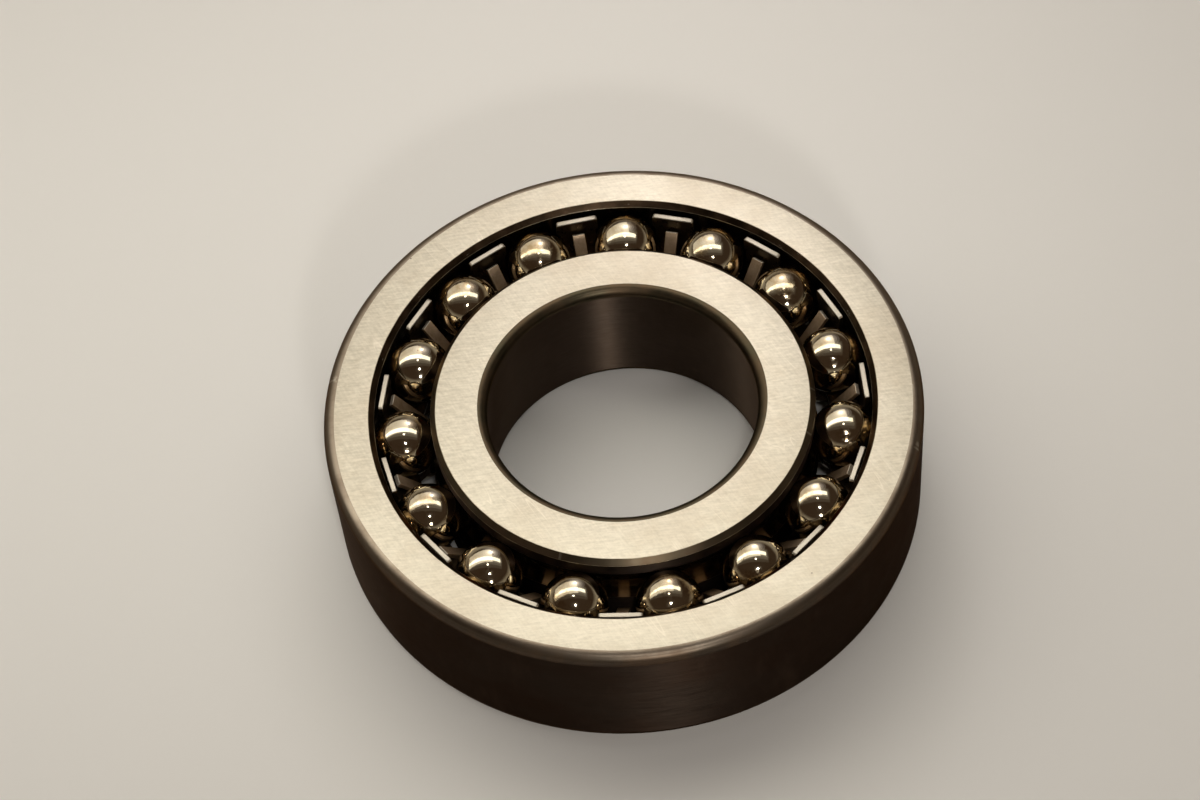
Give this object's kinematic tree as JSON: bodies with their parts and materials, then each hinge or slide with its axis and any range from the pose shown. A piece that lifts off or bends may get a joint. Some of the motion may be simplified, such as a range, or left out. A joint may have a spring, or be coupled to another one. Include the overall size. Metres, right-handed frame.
{
  "type": "self-aligning ball bearing",
  "caption": "Self-aligning ball bearing with staggered ball rows, a stamped steel cage, a spherical outer raceway and a tapered bore.",
  "frame": {"origin": "bearing centre, on the axis in the middle of the width, where the spherical raceway has its centre", "axes": "+Z along the axis, towards the small end of the tapered bore"},
  "size_m": [0.1, 0.1, 0.025],
  "materials": {
    "ring_steel": "ground, satin, lightly oiled",
    "cage_steel": "stamped sheet, dull, lightly oiled",
    "ball_steel": "mirror polished, lightly oiled"
  },
  "bodies": {
    "outer_ring": {"outer_ring": "ring_steel"},
    "ball_upper_01": {"ball_upper_01": "ball_steel"},
    "cage": {"cage": "cage_steel"},
    "inner_ring": {"inner_ring": "ring_steel"},
    "ball_upper_02": {"ball_upper_02": "ball_steel"},
    "ball_upper_03": {"ball_upper_03": "ball_steel"},
    "ball_upper_04": {"ball_upper_04": "ball_steel"},
    "ball_upper_05": {"ball_upper_05": "ball_steel"},
    "ball_upper_06": {"ball_upper_06": "ball_steel"},
    "ball_upper_07": {"ball_upper_07": "ball_steel"},
    "ball_upper_08": {"ball_upper_08": "ball_steel"},
    "ball_upper_09": {"ball_upper_09": "ball_steel"},
    "ball_upper_10": {"ball_upper_10": "ball_steel"},
    "ball_upper_11": {"ball_upper_11": "ball_steel"},
    "ball_upper_12": {"ball_upper_12": "ball_steel"},
    "ball_upper_13": {"ball_upper_13": "ball_steel"},
    "ball_upper_14": {"ball_upper_14": "ball_steel"},
    "ball_upper_15": {"ball_upper_15": "ball_steel"},
    "ball_lower_01": {"ball_lower_01": "ball_steel"},
    "ball_lower_02": {"ball_lower_02": "ball_steel"},
    "ball_lower_03": {"ball_lower_03": "ball_steel"},
    "ball_lower_04": {"ball_lower_04": "ball_steel"},
    "ball_lower_05": {"ball_lower_05": "ball_steel"},
    "ball_lower_06": {"ball_lower_06": "ball_steel"},
    "ball_lower_07": {"ball_lower_07": "ball_steel"},
    "ball_lower_08": {"ball_lower_08": "ball_steel"},
    "ball_lower_09": {"ball_lower_09": "ball_steel"},
    "ball_lower_10": {"ball_lower_10": "ball_steel"},
    "ball_lower_11": {"ball_lower_11": "ball_steel"},
    "ball_lower_12": {"ball_lower_12": "ball_steel"},
    "ball_lower_13": {"ball_lower_13": "ball_steel"},
    "ball_lower_14": {"ball_lower_14": "ball_steel"},
    "ball_lower_15": {"ball_lower_15": "ball_steel"}
  },
  "joints": [
    {"name": "cage_orbit", "type": "hinge", "parent": "outer_ring", "child": "ball_upper_01", "pos_m": [0, 0, 0], "axis": [0, 0, 1], "continuous": true},
    {"name": "alignment_tilt", "type": "hinge", "parent": "ball_upper_01", "child": "cage", "pos_m": [0, 0, 0], "axis": [0.1111, -0.9938, 0], "range_deg": [-3, 3]},
    {"name": "inner_ring_spin", "type": "hinge", "parent": "cage", "child": "inner_ring", "pos_m": [0, 0, 0], "axis": [0, 0, 1], "continuous": true},
    {"name": "ball_upper_02_spin", "type": "hinge", "parent": "cage", "child": "ball_upper_02", "pos_m": [-0.01118, -0.0352, 0.0064], "axis": [0.0517, 0.1627, 0.9853], "continuous": true},
    {"name": "ball_upper_03_spin", "type": "hinge", "parent": "cage", "child": "ball_upper_03", "pos_m": [-0.02453, -0.02761, 0.0064], "axis": [0.1134, 0.1277, 0.9853], "continuous": true},
    {"name": "ball_upper_04_spin", "type": "hinge", "parent": "cage", "child": "ball_upper_04", "pos_m": [-0.03364, -0.01524, 0.0064], "axis": [0.1555, 0.0705, 0.9853], "continuous": true},
    {"name": "ball_upper_05_spin", "type": "hinge", "parent": "cage", "child": "ball_upper_05", "pos_m": [-0.03693, -0.00024, 0.0064], "axis": [0.1708, 0.0011, 0.9853], "continuous": true},
    {"name": "ball_upper_06_spin", "type": "hinge", "parent": "cage", "child": "ball_upper_06", "pos_m": [-0.03384, 0.0148, 0.0064], "axis": [0.1565, -0.0684, 0.9853], "continuous": true},
    {"name": "ball_upper_07_spin", "type": "hinge", "parent": "cage", "child": "ball_upper_07", "pos_m": [-0.02489, 0.02728, 0.0064], "axis": [0.1151, -0.1261, 0.9853], "continuous": true},
    {"name": "ball_upper_08_spin", "type": "hinge", "parent": "cage", "child": "ball_upper_08", "pos_m": [-0.01164, 0.03505, 0.0064], "axis": [0.0538, -0.162, 0.9853], "continuous": true},
    {"name": "ball_upper_09_spin", "type": "hinge", "parent": "cage", "child": "ball_upper_09", "pos_m": [0.00362, 0.03675, 0.0064], "axis": [-0.0167, -0.1699, 0.9853], "continuous": true},
    {"name": "ball_upper_10_spin", "type": "hinge", "parent": "cage", "child": "ball_upper_10", "pos_m": [0.01825, 0.0321, 0.0064], "axis": [-0.0844, -0.1484, 0.9853], "continuous": true},
    {"name": "ball_upper_11_spin", "type": "hinge", "parent": "cage", "child": "ball_upper_11", "pos_m": [0.02973, 0.0219, 0.0064], "axis": [-0.1375, -0.1013, 0.9853], "continuous": true},
    {"name": "ball_upper_12_spin", "type": "hinge", "parent": "cage", "child": "ball_upper_12", "pos_m": [0.03607, 0.00792, 0.0064], "axis": [-0.1668, -0.0366, 0.9853], "continuous": true},
    {"name": "ball_upper_13_spin", "type": "hinge", "parent": "cage", "child": "ball_upper_13", "pos_m": [0.03617, -0.00744, 0.0064], "axis": [-0.1673, 0.0344, 0.9853], "continuous": true},
    {"name": "ball_upper_14_spin", "type": "hinge", "parent": "cage", "child": "ball_upper_14", "pos_m": [0.03002, -0.02151, 0.0064], "axis": [-0.1388, 0.0994, 0.9853], "continuous": true},
    {"name": "ball_upper_15_spin", "type": "hinge", "parent": "cage", "child": "ball_upper_15", "pos_m": [0.01868, -0.03186, 0.0064], "axis": [-0.0864, 0.1473, 0.9853], "continuous": true},
    {"name": "ball_lower_01_spin", "type": "hinge", "parent": "cage", "child": "ball_lower_01", "pos_m": [-0.00362, -0.03675, -0.0064], "axis": [-0.0167, -0.1699, 0.9853], "continuous": true},
    {"name": "ball_lower_02_spin", "type": "hinge", "parent": "cage", "child": "ball_lower_02", "pos_m": [-0.01825, -0.0321, -0.0064], "axis": [-0.0844, -0.1484, 0.9853], "continuous": true},
    {"name": "ball_lower_03_spin", "type": "hinge", "parent": "cage", "child": "ball_lower_03", "pos_m": [-0.02973, -0.0219, -0.0064], "axis": [-0.1375, -0.1013, 0.9853], "continuous": true},
    {"name": "ball_lower_04_spin", "type": "hinge", "parent": "cage", "child": "ball_lower_04", "pos_m": [-0.03607, -0.00792, -0.0064], "axis": [-0.1668, -0.0366, 0.9853], "continuous": true},
    {"name": "ball_lower_05_spin", "type": "hinge", "parent": "cage", "child": "ball_lower_05", "pos_m": [-0.03617, 0.00744, -0.0064], "axis": [-0.1673, 0.0344, 0.9853], "continuous": true},
    {"name": "ball_lower_06_spin", "type": "hinge", "parent": "cage", "child": "ball_lower_06", "pos_m": [-0.03002, 0.02151, -0.0064], "axis": [-0.1388, 0.0994, 0.9853], "continuous": true},
    {"name": "ball_lower_07_spin", "type": "hinge", "parent": "cage", "child": "ball_lower_07", "pos_m": [-0.01868, 0.03186, -0.0064], "axis": [-0.0864, 0.1473, 0.9853], "continuous": true},
    {"name": "ball_lower_08_spin", "type": "hinge", "parent": "cage", "child": "ball_lower_08", "pos_m": [-0.0041, 0.0367, -0.0064], "axis": [-0.019, 0.1697, 0.9853], "continuous": true},
    {"name": "ball_lower_09_spin", "type": "hinge", "parent": "cage", "child": "ball_lower_09", "pos_m": [0.01118, 0.0352, -0.0064], "axis": [0.0517, 0.1627, 0.9853], "continuous": true},
    {"name": "ball_lower_10_spin", "type": "hinge", "parent": "cage", "child": "ball_lower_10", "pos_m": [0.02453, 0.02761, -0.0064], "axis": [0.1134, 0.1277, 0.9853], "continuous": true},
    {"name": "ball_lower_11_spin", "type": "hinge", "parent": "cage", "child": "ball_lower_11", "pos_m": [0.03364, 0.01524, -0.0064], "axis": [0.1555, 0.0705, 0.9853], "continuous": true},
    {"name": "ball_lower_12_spin", "type": "hinge", "parent": "cage", "child": "ball_lower_12", "pos_m": [0.03693, 0.00024, -0.0064], "axis": [0.1708, 0.0011, 0.9853], "continuous": true},
    {"name": "ball_lower_13_spin", "type": "hinge", "parent": "cage", "child": "ball_lower_13", "pos_m": [0.03384, -0.0148, -0.0064], "axis": [0.1565, -0.0684, 0.9853], "continuous": true},
    {"name": "ball_lower_14_spin", "type": "hinge", "parent": "cage", "child": "ball_lower_14", "pos_m": [0.02489, -0.02728, -0.0064], "axis": [0.1151, -0.1261, 0.9853], "continuous": true},
    {"name": "ball_lower_15_spin", "type": "hinge", "parent": "cage", "child": "ball_lower_15", "pos_m": [0.01164, -0.03505, -0.0064], "axis": [0.0538, -0.162, 0.9853], "continuous": true}
  ],
  "couplings": [
    {"joint": "cage_orbit", "follows": "inner_ring_spin", "ratio": 0.7418},
    {"joint": "ball_upper_02_spin", "follows": "inner_ring_spin", "ratio": -5.6616},
    {"joint": "ball_upper_03_spin", "follows": "inner_ring_spin", "ratio": -5.6616},
    {"joint": "ball_upper_04_spin", "follows": "inner_ring_spin", "ratio": -5.6616},
    {"joint": "ball_upper_05_spin", "follows": "inner_ring_spin", "ratio": -5.6616},
    {"joint": "ball_upper_06_spin", "follows": "inner_ring_spin", "ratio": -5.6616},
    {"joint": "ball_upper_07_spin", "follows": "inner_ring_spin", "ratio": -5.6616},
    {"joint": "ball_upper_08_spin", "follows": "inner_ring_spin", "ratio": -5.6616},
    {"joint": "ball_upper_09_spin", "follows": "inner_ring_spin", "ratio": -5.6616},
    {"joint": "ball_upper_10_spin", "follows": "inner_ring_spin", "ratio": -5.6616},
    {"joint": "ball_upper_11_spin", "follows": "inner_ring_spin", "ratio": -5.6616},
    {"joint": "ball_upper_12_spin", "follows": "inner_ring_spin", "ratio": -5.6616},
    {"joint": "ball_upper_13_spin", "follows": "inner_ring_spin", "ratio": -5.6616},
    {"joint": "ball_upper_14_spin", "follows": "inner_ring_spin", "ratio": -5.6616},
    {"joint": "ball_upper_15_spin", "follows": "inner_ring_spin", "ratio": -5.6616},
    {"joint": "ball_lower_01_spin", "follows": "inner_ring_spin", "ratio": -5.6616},
    {"joint": "ball_lower_02_spin", "follows": "inner_ring_spin", "ratio": -5.6616},
    {"joint": "ball_lower_03_spin", "follows": "inner_ring_spin", "ratio": -5.6616},
    {"joint": "ball_lower_04_spin", "follows": "inner_ring_spin", "ratio": -5.6616},
    {"joint": "ball_lower_05_spin", "follows": "inner_ring_spin", "ratio": -5.6616},
    {"joint": "ball_lower_06_spin", "follows": "inner_ring_spin", "ratio": -5.6616},
    {"joint": "ball_lower_07_spin", "follows": "inner_ring_spin", "ratio": -5.6616},
    {"joint": "ball_lower_08_spin", "follows": "inner_ring_spin", "ratio": -5.6616},
    {"joint": "ball_lower_09_spin", "follows": "inner_ring_spin", "ratio": -5.6616},
    {"joint": "ball_lower_10_spin", "follows": "inner_ring_spin", "ratio": -5.6616},
    {"joint": "ball_lower_11_spin", "follows": "inner_ring_spin", "ratio": -5.6616},
    {"joint": "ball_lower_12_spin", "follows": "inner_ring_spin", "ratio": -5.6616},
    {"joint": "ball_lower_13_spin", "follows": "inner_ring_spin", "ratio": -5.6616},
    {"joint": "ball_lower_14_spin", "follows": "inner_ring_spin", "ratio": -5.6616},
    {"joint": "ball_lower_15_spin", "follows": "inner_ring_spin", "ratio": -5.6616}
  ]
}
